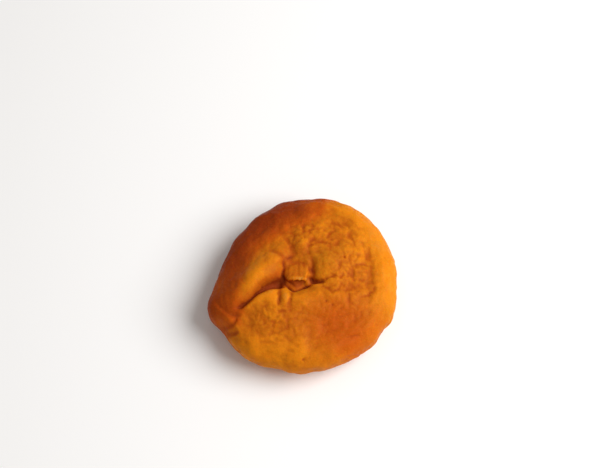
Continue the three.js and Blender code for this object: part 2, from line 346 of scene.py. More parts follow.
# The nub: a short barrel of torn flesh at the stem end, open at its front. It points to -Y.
NUB_TIP = np.array([-0.75, -2.2, 12.8])
NUB_RISE = 1.0  # degrees
NUB_FLATNESS = 0.80
NUB_PROFILE = [  # radius, distance back from the tip
    (0.0, 9.6), (1.6, 9.3), (2.3, 8.5), (2.8, 7.7), (3.3, 6.7), (3.8, 5.4), (4.15, 3.8), (4.35, 2.0),
    (4.4, 0.8), (4.25, 0.2), (3.7, 0.0), (3.1, 0.0), (2.6, 0.1), (2.1, 0.18), (1.4, 0.22), (0.7, 0.22),
    (0.0, 0.22),
]
NUB_STEPS = 72
NUB_SQUARED = (0.8, 0.85)  # powers of its section, across and upward: 1 is a circle's
# The torn end: its upper edge's height over the nub's middle, how far down it goes and how much it slopes.
TORN_TOP, TORN_HEIGHT, TORN_SLOPE = 2.4, 3.4, 1.45
# Its blunt point: middle, how much its sides slant back, how far at most, and how far down it is whole.
POINT_MIDDLE, POINT_SLANT, POINT_BACK, POINT_DOWN = -0.55, 1.25, 3.0, 1.9
TORN_MIDDLE = -0.65
TORN_SIDES = (1.6, 3.3)  # its sides lie further back between these distances from its middle
TORN_ROUGHNESS = 0.3
TEAR_FADES = (0.8, 4.0)  # distances back from the tip
# Its fibres: how many go round, how high and how uneven they are, and between which radii they set in.
FIBRES, FIBRE_HEIGHT, FIBRE_UNEVENNESS = 13, 0.09, 0.16
FIBRES_FROM = (1.6, 3.2)
# Grooves along its top: where across it, as a share of its half-width, and depth.
GROOVES = [(-0.05, 0.5), (0.32, 0.2), (0.66, 0.2), (-0.45, 0.14)]
GROOVE_WIDTH = 0.11
# The torn end's darker colour, partly painted shade in its pocket: half-lengths of its oval, and how far it
# reaches from its middle depth.
TORN_OVAL = (4.1, 3.2)
TORN_DEPTH, TORN_REACH = 0.5, 1.2

# Crumbs of torn flesh round the open end: place, radius.
CRUMBS = [
    (2.0, -1.2, 13.4, 1.1), (1.6, -0.5, 14.2, 0.8), (2.4, -2.0, 12.8, 0.8), (1.1, -1.7, 13.0, 0.9),
    (-3.5, -0.8, 15.5, 0.42), (-2.8, -1.0, 15.85, 0.4), (-2.0, -1.15, 16.05, 0.44),
    (-1.2, -1.1, 16.15, 0.4), (-0.4, -1.25, 16.1, 0.44), (0.4, -1.15, 16.05, 0.4),
    (1.2, -1.2, 15.9, 0.42),
]
CRUMB_STRETCH = (0.8, 1.6, 0.9)
CRUMB_LUMPS = 0.5


def torn_slope(x, below):
    """How far back the torn end lies, a given way below its upper edge."""
    point = np.minimum(POINT_SLANT * np.abs(x - POINT_MIDDLE), POINT_BACK)
    point = point * np.clip(below / POINT_DOWN, 0.0, 1.0)
    return 1.0 - TORN_SLOPE * below + point + fade(np.abs(x - TORN_MIDDLE), *TORN_SIDES)


def nub_points(co):
    """Moves the plain barrel's points: fibres, a slanted torn end, its place on the fruit."""
    side, back, up = co.T
    radius = np.hypot(side, up)
    angle = np.arctan2(up, side)
    across, upward = np.cos(angle), np.sin(angle)
    across = np.sign(across) * np.abs(across) ** NUB_SQUARED[0]
    upward = np.sign(upward) * np.abs(upward) ** NUB_SQUARED[1]
    # The torn end slopes forward from its upper edge and narrows to a blunt point.
    slope = torn_slope(side, np.clip(TORN_TOP - up * NUB_FLATNESS, 0.0, TORN_HEIGHT))
    tear = TORN_ROUGHNESS * ripple_of(TEAR_NOISE, side, up, 0.1 * radius)
    tear = tear + TORN_ROUGHNESS * ripple_of(SHRED_NOISE, 2.4 * side, 2.4 * up, radius)
    back = back + (1 - fade(back, *TEAR_FADES)) * (slope + tear)
    fibres = FIBRE_HEIGHT * np.sin(FIBRES * angle + 0.6 * np.sin(3 * angle) + 0.2 * back)
    fibres += FIBRE_UNEVENNESS * ripple_of(FIBRE_NOISE, 3.6 * across, 3.6 * upward, 0.2 * back)
    for groove, depth in GROOVES:
        fibres -= depth * bell(across - groove - 0.01 * back, GROOVE_WIDTH) * (upward > 0)
    grown = radius + fibres * fade(radius, *FIBRES_FROM)
    x = grown * across
    z = grown * upward * NUB_FLATNESS
    tilt = math.radians(NUB_RISE)
    y = back * math.cos(tilt) + z * math.sin(tilt)
    z = z * math.cos(tilt) - back * math.sin(tilt)
    return np.column_stack([x, y, z]) + NUB_TIP


def torn_end(co):
    """How far each point is on the nub's torn end: 0 off it, 1 well on it."""
    x, y, z = (co - NUB_TIP).T
    from_face = y - torn_slope(x, np.clip(TORN_TOP - z, 0.0, TORN_HEIGHT))
    inside = 1 - fade(np.hypot(x / TORN_OVAL[0], z / TORN_OVAL[1]), 0.82, 1.0)
    return inside * bell(from_face - TORN_DEPTH, TORN_REACH)


def make_nub():
    """The nub: its profile spun round, then torn."""
    nub = bmesh.new()
    profile = smooth_line(NUB_PROFILE, 5)
    verts = [nub.verts.new((radius, back, 0.0)) for radius, back in profile]
    edges = [nub.edges.new(pair) for pair in zip(verts, verts[1:])]
    turn = {"cent": (0, 0, 0), "axis": (0, 1, 0), "angle": 2 * math.pi, "steps": NUB_STEPS}
    bmesh.ops.spin(nub, geom=verts + edges, use_merge=True, **turn)
    bmesh.ops.remove_doubles(nub, verts=nub.verts, dist=1e-4)
    move_points(nub.verts, nub_points(points_of(nub.verts)))
    bmesh.ops.recalc_face_normals(nub, faces=nub.faces)
    return nub


def make_crumb(shape, crumb, seed):
    """A lumpy crumb of flesh, drawn out along the nub."""
    place, radius = np.array(crumb[:3]), crumb[3]
    made = bmesh.ops.create_icosphere(shape, subdivisions=3, radius=radius)["verts"]
    corners = points_of(made)
    lumps = 1 + CRUMB_LUMPS * ripple_at(seed, 0.8 * radius, corners)
    move_points(made, place + corners * lumps[:, None] * CRUMB_STRETCH)


def mesh_of(shape, name):
    mesh = bpy.data.meshes.new(name)
    shape.to_mesh(mesh)
    shape.free()
    return mesh


def rough_shape():
    """The cushion, the nub and the crumbs, which still run through each other."""
    shape = bmesh.new()
    make_body(shape)
    nub = mesh_of(make_nub(), "nub")
    shape.from_mesh(nub)
    bpy.data.meshes.remove(nub)
    for number, crumb in enumerate(CRUMBS):
        make_crumb(shape, crumb, CRUMB_NOISE + number)
    return mesh_of(shape, "rough")


def one_skin(mesh, square):
    """Joins it all into one closed skin of small squares."""
    holder = bpy.data.objects.new("shape", mesh)
    bpy.context.scene.collection.objects.link(holder)
    modifier = holder.modifiers.new("Remesh", "REMESH")
    modifier.mode = "VOXEL"
    modifier.voxel_size = square
    modifier.use_smooth_shade = True
    bpy.context.view_layer.update()
    made = bpy.data.meshes.new_from_object(holder.evaluated_get(bpy.context.evaluated_depsgraph_get()))
    bpy.data.objects.remove(holder)
    bpy.data.meshes.remove(mesh)
    return made


class Skin:
    """A closed mesh of squares: its points, and which of them are neighbours."""

    def __init__(self, mesh):
        self.mesh = mesh
        count = len(mesh.vertices)
        edges = np.zeros(len(mesh.edges) * 2, np.int32)
        mesh.edges.foreach_get("vertices", edges)
        edges = edges.reshape(-1, 2)
        corners = np.zeros(len(mesh.loops), np.int32)
        mesh.loops.foreach_get("vertex_index", corners)
        corners = corners.reshape(-1, 4)
        # Springs run along the edges and across the squares.
        self.springs = np.vstack([edges, corners[:, [0, 2]], corners[:, [1, 3]]])
        self.starts = np.concatenate([edges[:, 0], edges[:, 1]])
        self.ends = np.concatenate([edges[:, 1], edges[:, 0]])
        self.links = np.maximum(np.bincount(self.starts, minlength=count), 1)
        co = np.zeros(count * 3, np.float32)
        mesh.vertices.foreach_get("co", co)
        self.co = co.reshape(-1, 3).astype(float)

    def mean(self, values):
        """Each point's mean of its neighbours' values."""
        if values.ndim > 1:
            return np.column_stack([self.mean(column) for column in values.T])
        return np.bincount(self.starts, values[self.ends], minlength=len(values)) / self.links

    def soften(self, values, rounds):
        """Values, or places, moved half way to their neighbours' mean in each round."""
        for _ in range(rounds):
            values = 0.5 * (values + self.mean(values))
        return values

    def edge_square(self):
        """The mean square of the edges' lengths round each point."""
        steps = ((self.co[self.starts] - self.co[self.ends]) ** 2).sum(1)
        square = np.bincount(self.starts, steps, minlength=len(self.co)) / self.links
        return self.soften(square, 8)

    def normals(self):
        """The way out of the flesh at each point."""
        self.store()
        normals = np.zeros(len(self.co) * 3, np.float32)
        self.mesh.vertex_normals.foreach_get("vector", normals)
        return normals.reshape(-1, 3).astype(float)

    def store(self):
        """Puts the points back into the mesh."""
        self.mesh.vertices.foreach_set("co", self.co.astype(np.float32).ravel())
        self.mesh.update()


# The skin as it shrivels.
FIRST_RIPPLES = 0.04  # the height of the faint ripples that it starts from
STIFFNESS = 3.2
STIFFNESS_BOUNDS = (0.3, 6.0)
RISING_GRIP = 0.8  # how much harder the flesh holds it where it rises than where it sinks
GRIP_HEIGHT = 0.12  # and over what height
SIDE_GRIP = 0.02
PUSH = 0.08  # how much of a push moves it in a round
SPEED_KEPT = 0.9


def shrivel(skin, growth, lean, spacing, rounds):
    """Lets the skin shrivel: it is too long by the share growth, so it buckles into wrinkles of about the
    given spacing, which run across lean. Its neighbours, its stiffness and the flesh pull at each point."""
    starts, ends = skin.springs.T
    rest = skin.co.copy()
    normals = skin.normals()
    apart = rest[ends] - rest[starts]
    step = np.sqrt((apart**2).sum(1))
    much = 0.5 * (growth[starts] + growth[ends])
    way = 0.5 * (lean[starts] + lean[ends])
    along = ((apart / step[:, None]) * way).sum(1) ** 2
    length = step * (1 + much * (1 + 2 * along - (way * way).sum(1)))
    turn = math.pi**2 * skin.edge_square() / spacing**2
    stiff = np.clip(STIFFNESS * growth / turn, *STIFFNESS_BOUNDS)
    hold = stiff * turn**2
    first = skin.soften(np.random.default_rng(SHRIVEL_SEED).normal(size=len(rest)), 3)
    co = rest + normals * (FIRST_RIPPLES * first / first.std())[:, None]
    speed = np.zeros_like(co)
    count = len(rest)
    for _ in range(rounds):
        apart = co[ends] - co[starts]
        reach = np.sqrt((apart * apart).sum(1))
        pull = (1 - length / reach)[:, None] * apart
        moved = co - rest
        outward = (moved * normals).sum(1)
        grip = hold * (1 + RISING_GRIP * np.tanh(outward / GRIP_HEIGHT))
        push = -grip[:, None] * outward[:, None] * normals
        push = push - SIDE_GRIP * (moved - outward[:, None] * normals)
        bent = moved - skin.mean(moved)
        bent *= stiff[:, None]
        push -= bent - skin.mean(bent)
        for axis in range(3):
            push[:, axis] += np.bincount(starts, pull[:, axis], minlength=count)
            push[:, axis] -= np.bincount(ends, pull[:, axis], minlength=count)
        speed = SPEED_KEPT * speed + PUSH * push
        co = co + speed
    skin.co = co


# Fine creases, cut into the finished skin: points on the plan, depth, reach.
CREASES = [
    ([(5.6, -0.2), (6.2, -2.8), (7.3, -4.2), (8.4, -5.0), (9.6, -4.8), (10.6, -4.0), (11.2, -2.4),
      (11.1, -0.8)], 0.5, 0.9),
    ([(8.6, 0.3), (10.1, -0.5), (11.2, -0.9)], 0.4, 0.8),
    ([(9.7, 1.7), (10.9, 1.4), (11.4, 0.4), (11.1, -0.9)], 0.45, 0.8),
    ([(11.6, -2.6), (12.5, -1.0), (13.3, 0.5), (14.2, -0.7), (15.4, -2.2)], 0.5, 0.9),
    ([(11.2, 4.0), (11.4, 2.6), (12.2, 1.4), (13.3, 0.5)], 0.4, 0.9),
    ([(10.5, -4.2), (11.7, -4.4), (13.1, -4.4), (14.8, -3.9)], 0.35, 0.9),
    ([(13.8, 3.2), (16.1, 3.2), (18.8, 3.9)], 0.4, 0.9),
    ([(15.4, 0.8), (17.4, 1.3), (19.2, 1.4)], 0.4, 0.9),
    ([(15.6, -1.2), (17.4, -1.0), (19.0, -0.7)], 0.3, 0.9),
    ([(16.0, 13.4), (18.2, 11.1), (19.0, 8.0), (19.2, 5.2), (19.1, 1.8), (19.1, -1.2)], 0.2, 1.0),
    ([(19.1, -1.0), (20.2, -3.2), (19.3, -4.8), (17.7, -6.0), (15.0, -7.0)], 0.5, 1.1),
    ([(13.2, -4.2), (13.4, -5.9), (13.0, -7.4), (13.2, -8.1), (14.3, -8.5), (16.8, -9.4)], 0.55, 0.9),
    ([(13.1, -8.0), (11.8, -8.8), (10.7, -9.8), (9.4, -10.6)], 0.3, 0.9),
    ([(14.9, 12.6), (14.6, 10.2), (15.2, 7.6), (15.7, 5.8), (15.6, 3.8)], 0.4, 0.9),
    ([(11.1, 9.6), (11.5, 7.3), (12.1, 5.2)], 0.3, 0.9),
    ([(9.9, 13.6), (8.2, 12.9), (7.0, 11.0)], 0.35, 0.9),
    ([(5.8, 9.8), (7.4, 8.6), (7.6, 7.1), (9.0, 6.8), (10.2, 5.2)], 0.35, 0.9),
    ([(-0.2, 16.6), (0.6, 13.9), (0.8, 11.6)], 0.35, 0.8),
    ([(4.0, 16.0), (2.7, 13.8), (2.4, 11.4)], 0.35, 0.8),
    ([(-7.8, -10.0), (-6.1, -10.7), (-4.7, -10.6), (-3.7, -11.4), (-3.4, -13.2)], 0.4, 0.9),
    ([(-2.5, -5.4), (-2.7, -8.0), (-3.2, -9.8)], 0.35, 0.8),
    ([(-10.1, -11.8), (-10.3, -14.4)], 0.45, 0.8),
    ([(-8.3, -13.2), (-6.6, -13.9), (-5.0, -13.2)], 0.5, 0.9),
    ([(-6.6, -13.9), (-6.6, -16.2)], 0.35, 0.8),
    ([(-12.6, -19.8), (-10.7, -18.6), (-9.1, -19.0), (-7.2, -19.7)], 0.25, 0.9),
    ([(-3.4, -13.0), (-0.9, -12.5), (1.4, -12.7)], 0.3, 0.8),
    ([(10.8, -18.9), (12.6, -17.5), (14.8, -16.9), (16.2, -16.5)], 0.6, 1.0),
]
CREASE_SHARE = 0.4  # the share of their depth that is cut
CREASE_LINE = 0.5  # and the share of it that darkens their lines
CREASE_LINE_WIDTH = 0.4
WAVER = 0.5  # how far their lines waver
WAVER_LENGTH = 1.6

# Pinpricks: place on the plan, depth, width.
PITS = [(12.0, 5.2, 0.5, 0.32), (0.6, -23.4, 0.2, 0.3), (8.6, -8.9, 0.3, 0.35), (6.9, -7.9, 0.2, 0.35)]

# Nets of finer creases: width of their cells, depth, reach.
NETS = [(4.6, 0.16, 2.3), (2.6, 0.12, 1.3), (1.6, 0.1, 0.8), (1.0, 0.07, 0.5)]
NET_LINE = 0.9
NET_WANDER = 0.3  # how far their borders wander, as a share of a cell

# Creases that run down the side: degrees from +X, depth, reach, degrees that they lean on the way down.
SIDE_CREASES = [
    (11, 0.4, 2.2, 9), (36, 0.5, 2.6, -12), (63, 0.4, 2.0, 10), (98, 0.6, 2.8, -14),
    (122, 0.4, 1.8, 12), (151, 0.6, 2.6, 8), (174, 0.4, 2.2, -12), (226, 0.28, 1.8, 10),
    (262, 0.25, 1.8, -12), (301, 0.28, 1.8, 12), (338, 0.35, 2.0, -10),
]
SIDE_LINE = 0.3
SIDE_LINE_WIDTH = 0.35
SIDE_WAVER = 7  # degrees
SIDE_TOP, SIDE_HEIGHT = 11, 8  # from where, and over what height, they lean

TOP_HEIGHTS = (8.0, 12.0)  # between these the top's own creases set in
# Where the top is most wrinkled: middle, half-lengths, strength.
ROUGH = [(2.0, 12.0, 10.0, 7.0, 1.0), (13.0, -1.0, 6.5, 8.0, 1.0), (-7.0, -12.5, 8.0, 5.5, 1.0)]
# Where the skin is plump and smooth: middle, half-lengths, strength.
CALM = [
    (-11.2, 2.2, 8.0, 5.0, 0.85),  # the left lobe
    (-12.0, 9.0, 8.0, 6.0, 0.6),  # behind it
    (-9.5, -6.8, 5.0, 2.6, 0.6),  # in front of the long fold
]
CALM_EDGE = 0.8
CALM_EDGE_FROM = (0.7, 0.9)  # shares of the outline's radius
TOP_CALM = 0.7  # how calm the skin is outside the rough patches
# How much of its calm the side loses, and how much more the hidden back of the side.
SIDE_UNREST = 0.5
BACK_UNREST = 0.65

# The share by which the skin is too long: on the top, how much more on the side, everywhere, and at least.
LOOSE_TOP, LOOSE_SIDE, LOOSE_ALL, LOOSE_LEAST = 0.008, 0.050, 0.012, 0.01
CALM_SPACING = 1.2  # how much further apart the wrinkles of calm skin are
# Soft lumps and knobs all over: height, width.
LUMPS = (0.45, 6.0)
KNOBS = (0.2, 3.0)


def calmness(co, share):
    """How smooth the skin is at each point: 0 where it is most wrinkled, 1 where it is plump."""
    x, y, z = co.T
    calm = CALM_EDGE * fade(share, *CALM_EDGE_FROM)
    for *oval, strength in CALM:
        calm += strength * patch(x, y, *oval)
    calm = np.clip(calm, 0, 1)
    calm *= 1 - SIDE_UNREST * (1 - fade(z, 5.0, 12.0))
    calm += (1 - calm) * TOP_CALM * (1 - np.clip(patches_of(ROUGH, x, y), 0, 1))
    calm *= 1 - BACK_UNREST * (1 - fade(z, 5.0, 10.0)) * fade(y, -14.0, 0.0)
    return calm


def cut_creases(cut, line, co, depth_share):
    """Cuts the fine creases of the top, which waver and have gaps."""
    high = fade(co[:, 2], *TOP_HEIGHTS)
    waver_x = co[:, 0] + WAVER * ripple_at(WAVER_X_NOISE, WAVER_LENGTH, co)
    waver_y = co[:, 1] + WAVER * ripple_at(WAVER_Y_NOISE, WAVER_LENGTH, co)
    gaps = fade(ripple_at(GAP_NOISE, 2.5, co), -0.6, 0.3)
    for points, depth, reach in CREASES:
        distance, _, along = line_distance(points, waver_x, waver_y)
        ends = run_out(along, 0.3, 0.3) * high * gaps
        cut += CREASE_SHARE * (depth_share * depth) * ends * rolled(distance, 1.6 * reach)
        line += CREASE_LINE * ends * bell(distance, CREASE_LINE_WIDTH) * depth


def stain_folds(line, co):
    """Darkens the deep folds, partly their deeper colour and partly painted shade, and paints the shade
    under an overhang.
    """
    x, y, z = co.T
    for fold in FOLDS:
        distance, side, along = fold_distance(fold, x, y)
        spread = 0.35 + 0.12 * fold.left + 0.25 * fold.overhang * (side > 0) * fold.left
        dark = fold.stain_and_shade * run_out(along) * bell(distance, spread)
        np.maximum(line, dark * fade(z, 5.0, 9.0), out=line)


def cut_pits(cut, co):
    """Pricks the small pits into the top."""
    x, y, z = co.T
    for pit_x, pit_y, depth, width in PITS:
        cut += depth * bell(np.hypot(x - pit_x, y - pit_y), width) * fade(z, *TOP_HEIGHTS)


def crease_net(co, size, seed):
    """How far each point lies from the borders of a net of cells about as wide as size."""
    drift = np.column_stack([ripple_at(seed + axis, 1.2 * size, co) for axis in range(3)])
    borders = []
    for point in co / size + NET_WANDER * drift + seed:
        near = noise.voronoi(Vector(point))[0]
        borders.append(near[1] - near[0])
    return 0.5 * size * np.array(borders)


def cut_nets(cut, line, co, calm, depth_share):
    """Cuts the nets of finer creases, in patches, where the skin isn't calm."""
    for number, (size, depth, reach) in enumerate(NETS):
        border = crease_net(co, size, NET_NOISE + 5 * number)
        patchy = fade(ripple_at(NET_GAP_NOISE + number, 1.6 * size, co), -0.6, 0.25)
        cut += (depth_share * depth) * patchy * (1 - calm) * rolled(border, reach)
        line += NET_LINE * patchy * (1 - calm) * bell(border, 0.2 + 0.06 * size) * depth


def cut_side_creases(cut, line, co, share, depth_share):
    """Cuts the creases that run down the side, which waver and have gaps."""
    x, y, z = co.T
    angle = np.arctan2(y, x)
    from_axis = np.hypot(x, y)
    on_side = fade(share, 0.78, 0.97) * fade(z, 0.3, 2.5)
    for number, (middle, depth, reach, slant) in enumerate(SIDE_CREASES):
        waver = SIDE_WAVER * ripple_of(SIDE_WAVER_NOISE + number, z / 3.5, 0 * z, 0 * z)
        line_at = middle + slant * (SIDE_TOP - z) / SIDE_HEIGHT + waver
        away = np.radians(degrees_from(angle, line_at)) * from_axis
        gaps = fade(ripple_of(SIDE_GAP_NOISE + number, z / 4, 0 * z, 0 * z), -0.5, 0.1)
        fall = on_side * (1 - fade(z, 7.5, 12.0)) * gaps
        cut += (depth_share * depth) * fall * rolled(np.abs(away), reach)
        line += SIDE_LINE * fall * bell(away, SIDE_LINE_WIDTH) * depth


def cut_skin(skin, sizes):
    """Cuts the creases and raises the wrinkles. Returns how dark the creases' lines are painted, partly as
    painted shade.
    """
    co = skin.co
    x, y, z = co.T
    normals = skin.normals()
    from_axis = np.hypot(x, y)
    share = from_axis / outline_radius(np.arctan2(y, x))
    calm = calmness(co, share)

    cut = np.zeros(len(co))
    line = np.zeros(len(co))
    cut_creases(cut, line, co, sizes.creases)
    stain_folds(line, co)
    cut_pits(cut, co)
    cut_nets(cut, line, co, calm, sizes.creases)
    cut_side_creases(cut, line, co, share, sizes.creases)
    skin.co = co - normals * cut[:, None]
    lumps = LUMPS[0] * ripple_at(LUMP_NOISE, LUMPS[1], co)
    lumps += KNOBS[0] * ripple_at(KNOB_NOISE, KNOBS[1], co)
    skin.co += normals * lumps[:, None]

    low = 1 - fade(z, 4.5, 9.5)
    uneven = 1.0 + 0.9 * ripple_at(GROWTH_NOISE, 5.0, co)
    growth = (LOOSE_TOP + LOOSE_SIDE * low) * (1 - calm) * uneven + LOOSE_ALL
    growth = sizes.wrinkles * np.maximum(growth, LOOSE_LEAST)
    spacing = round(sizes.wrinkle_spacing / MM, 4) + CALM_SPACING * calm
    spacing *= 1 + 0.3 * ripple_at(SPACING_NOISE, 6.0, co)
    # Where the skin is calm, its faint wrinkles run round the fruit.
    lean = np.column_stack([x / from_axis, y / from_axis, 0 * z]) * calm[:, None]
    lean -= (lean * normals).sum(1)[:, None] * normals
    lean /= np.maximum(1, np.linalg.norm(lean, axis=1))[:, None]
    shrivel(skin, growth, lean, spacing, sizes.rounds)
    skin.co = skin.soften(skin.co, 1)
    skin.co[:, 2] = np.maximum(skin.co[:, 2], 0.0)
    return line


# Patches of the finish on the plan: middle, half-lengths, strength.
HOLLOW_PATCHES = [
    # Painted shade in the pocket on the nub's left, under the end of the lobe.
    (-5.6, -1.2, 2.6, 2.4, 0.4),  # the pocket on the nub's left
    # Painted shade in the pocket at the back end of the left lobe.
    (-5.8, 5.2, 3.0, 3.0, 0.16),  # the back end of the left lobe
    (-0.5, 1.0, 3.8, 4.5, 0.14),  # the nub and its bed
]
# The red-orange patch on the front right, on the top only, and two that run on over the edge; the second of
# these is painted shade on the right end of the lower rim.
BLUSH_TOP = (10.5, -13.0, 11.5, 7.5)
BLUSH_AND_SHADE_PATCHES = [(13.0, -20.0, 8.0, 4.5, 0.5), (22.5, -13.0, 3.0, 4.5, 0.3)]
# Yellower patches, and duller ones where the strength is below 0; the notes mark the painted light and the
# painted shade.
GOLD_AND_LIGHT_PATCHES = [
    # Painted light on the lit crest of the left lobe.
    (-13.0, 2.0, 5.0, 5.0, 0.6),  # the left lobe
    # Painted light on the finger fold and the knuckle.
    (-6.0, -6.0, 5.5, 3.0, 0.7),  # the finger fold and the knuckle
    (-6.5, -21.5, 9.0, 4.5, 0.6),  # the front edge
    (-0.5, 1.5, 4.0, 5.0, -0.6),  # the nub is duller
    # Painted shade on the lobe's end near the nub.
    (-8.5, 2.0, 3.0, 2.5, -0.35),  # and so is the lobe's end
    # Painted light on the lit upper right rim.
    (17.5, 9.5, 4.0, 4.0, 0.7),  # inside the right edge, at the back
]
OLIVE_AND_SHADE_PATCHES = [
    (6.0, 4.5, 6.5, 4.5, 1.0),  # the right lobe
    (12.0, 9.0, 3.5, 3.5, 0.5),
    # Painted shade on the lower right rim.
    (23.5, -12.0, 4.0, 6.5, 0.9),  # the right end of the front edge
]
# Bands along the outline: middle in degrees, how far each is whole and where it ends, the shares of the
# outline's radius between which it sets in, strength.
# The first band is painted shade: dark red on the upper left side and the left end, where shade falls.
PAINTED_SHADE_BAND = (142, (44, 92), (0.5, 0.86), 0.8)
# The second band is painted light: the rim on the lamp's side made yellower, on top of the rim's own
# yellower tone.
GOLD_AND_LIGHT_BAND = (15, (30, 62), (0.74, 0.86), 0.8)
# How far the border of the painted shade on the upper left side wanders and frays, in degrees.
SHADE_WANDER, SHADE_FRAY = 12, 6
# Patches where the painted shade is lighter: middle, half-lengths, strength.
SHADE_PALER = [
    (-20.2, -12.0, 2.2, 2.2, 0.2),  # the first bump
    (-22.5, -1.5, 3.0, 4.5, 0.42),  # the left edge
]
# Painted shade at the back of the top, behind the left lobe.
SHADE_BACK = (-6.0, 13.5, 7.5, 6.0, 0.22)
# How dark the torn end is, and how gold the tops of the crumbs: past 1 is the crumbs' own colour.
TORN_HOLLOW = 0.74
CRUMB_GOLD = 2.2
# Rounds of softening that tell a crease from the skin round it, and then a fold.
NEAR_ROUNDS, FAR_ROUNDS = 30, 120
# How much darker each millimetre that a point is sunk in a crease or a fold makes it, and at most: partly
# their deeper colour, partly painted shade.
CREASE_HOLLOW = (1.5, 0.5)
FOLD_HOLLOW = (0.42, 0.7)
LINE_HOLLOW = (1.1, 0.5)  # the same for a crease's own line, of which no more than the second counts
# How much more golden each millimetre that it stands out makes it, and the bounds of that: partly the
# ridges' own yellower tone, partly painted highlight.
CREST_HIGHLIGHT_GOLD = (3.0, -0.3, 0.7)
RISE_HIGHLIGHT_GOLD = (0.5, 0.0, 0.4)


def band_tint(band, angle, share, wander=0.0):
    """How strong a band along the outline is at each point."""
    middle, span, setting_in, strength = band
    away = np.abs(degrees_from(angle, middle)) + wander
    return strength * fade(share, *setting_in) * (1 - fade(away, *span))


def cheek_tint(co, angle, share):
    """How much of the painted shade's dark red there is at each point."""
    x, y, z = co.T
    wander = SHADE_WANDER * ripple_of(SHADE_NOISE, x / 7, y / 7, z / 4)
    wander += SHADE_FRAY * ripple_of(SHADE_EDGE_NOISE, x / 2.5, y / 2.5, z / 2)
    cheek = band_tint(PAINTED_SHADE_BAND, angle, share, wander)
    for *oval, strength in SHADE_PALER:
        cheek *= 1 - strength * patch(x, y, *oval)
    return cheek + patches_of([SHADE_BACK], x, y)


def crumb_tint(co, normals):
    """How far each point is on top of a crumb."""
    most = np.zeros(len(co))
    for *place, radius in CRUMBS:
        apart = np.sqrt(((co - place) ** 2).sum(1))
        most = np.maximum(most, 1 - fade(apart, 0.9 * radius, 1.5 * radius))
    return most * (normals[:, 2] > 0.2)


def shape_tint(skin, line, torn):
    """Keeps how hollow, how red, how gold and how olive each point is, for the finish, with painted shade
    in the hollow, red and olive channels and painted light in the gold one.
    """
    x, y, z = skin.co.T
    normals = skin.normals()
    angle = np.arctan2(y, x)
    share = np.hypot(x, y) / outline_radius(angle)
    near = skin.soften(skin.co, NEAR_ROUNDS)
    sunk = ((near - skin.co) * normals).sum(1)
    far = skin.soften(near, FAR_ROUNDS)
    sunk_far = ((far - skin.co) * normals).sum(1)

    # Darker the further a point is sunk below its neighbours: partly the creases' deeper colour, partly
    # painted shade.
    hollow_tone_and_shade = np.clip(sunk * CREASE_HOLLOW[0], 0, CREASE_HOLLOW[1])
    hollow_tone_and_shade += np.clip(sunk_far * FOLD_HOLLOW[0], 0, FOLD_HOLLOW[1])
    hollow_tone_and_shade += LINE_HOLLOW[0] * np.clip(line, 0, LINE_HOLLOW[1])
    hollow_tone_and_shade += patches_of(HOLLOW_PATCHES, x, y)
    torn = fade(torn, 0.2, 0.8)
    hollow_tone_and_shade = skin.soften(np.clip(hollow_tone_and_shade * (1 - torn) + TORN_HOLLOW * torn, 0, 1), 1)
    for pit_x, pit_y, _, width in PITS:
        pit = bell(np.hypot(x - pit_x, y - pit_y), 0.8 * width) * fade(z, *TOP_HEIGHTS)
        hollow_tone_and_shade = np.maximum(hollow_tone_and_shade, pit)

    blush = patch(x, y, *BLUSH_TOP) * fade(z, 4, 9) + patches_of(BLUSH_AND_SHADE_PATCHES, x, y)
    # Painted shade on the upper left side: it raises the red channel, and past 1 it lays the dark red.
    cheek = cheek_tint(skin.co, angle, share)
    blush = np.maximum(blush, 0.9 * fade(cheek, 0.0, 0.5)) + cheek

    # Gold: partly the rims' and ridges' own yellower tone, partly painted light on the rim towards the
    # lamp, on lit lobes and on crests.
    gold = band_tint(GOLD_AND_LIGHT_BAND, angle, share) + patches_of(GOLD_AND_LIGHT_PATCHES, x, y)
    gold += np.clip(-sunk * CREST_HIGHLIGHT_GOLD[0], *CREST_HIGHLIGHT_GOLD[1:])
    gold += np.clip(-sunk_far * RISE_HIGHLIGHT_GOLD[0], *RISE_HIGHLIGHT_GOLD[1:])
    gold = np.maximum(gold, CRUMB_GOLD * crumb_tint(skin.co, normals))

    olive = patches_of(OLIVE_AND_SHADE_PATCHES, x, y)
    tint = np.column_stack([hollow_tone_and_shade, np.clip(blush, 0, 2), np.clip(gold, 0, 2), np.clip(olive, 0, 1)])
    attribute = skin.mesh.color_attributes.new("tint", "FLOAT_COLOR", "POINT")
    attribute.data.foreach_set("color", tint.astype(np.float32).ravel())


class Socket:
    """One output of a node. In an expression, each operator adds its Math node."""

    def __init__(self, finish, node, output=0):
        self.finish = finish
        self.node = node
        self.output = output

    def also(self, output):
        """Another output of the same node."""
        return Socket(self.finish, self.node, output)

    def __add__(self, other):
        return self.finish.math("ADD", self, other)

    def __sub__(self, other):
        return self.finish.math("SUBTRACT", self, other)

    def __rsub__(self, other):
        return self.finish.math("SUBTRACT", other, self)

    def __mul__(self, other):
        return self.finish.math("MULTIPLY", self, other)

    __radd__ = __add__
    __rmul__ = __mul__

    def between(self, start, end):
        """0 at start and before, 1 at end and after, smooth between."""
        settings = {"interpolation_type": "SMOOTHSTEP"}
        sockets = {"Value": self, "From Min": start, "From Max": end}
        return self.finish.add("ShaderNodeMapRange", settings, sockets, "Result")


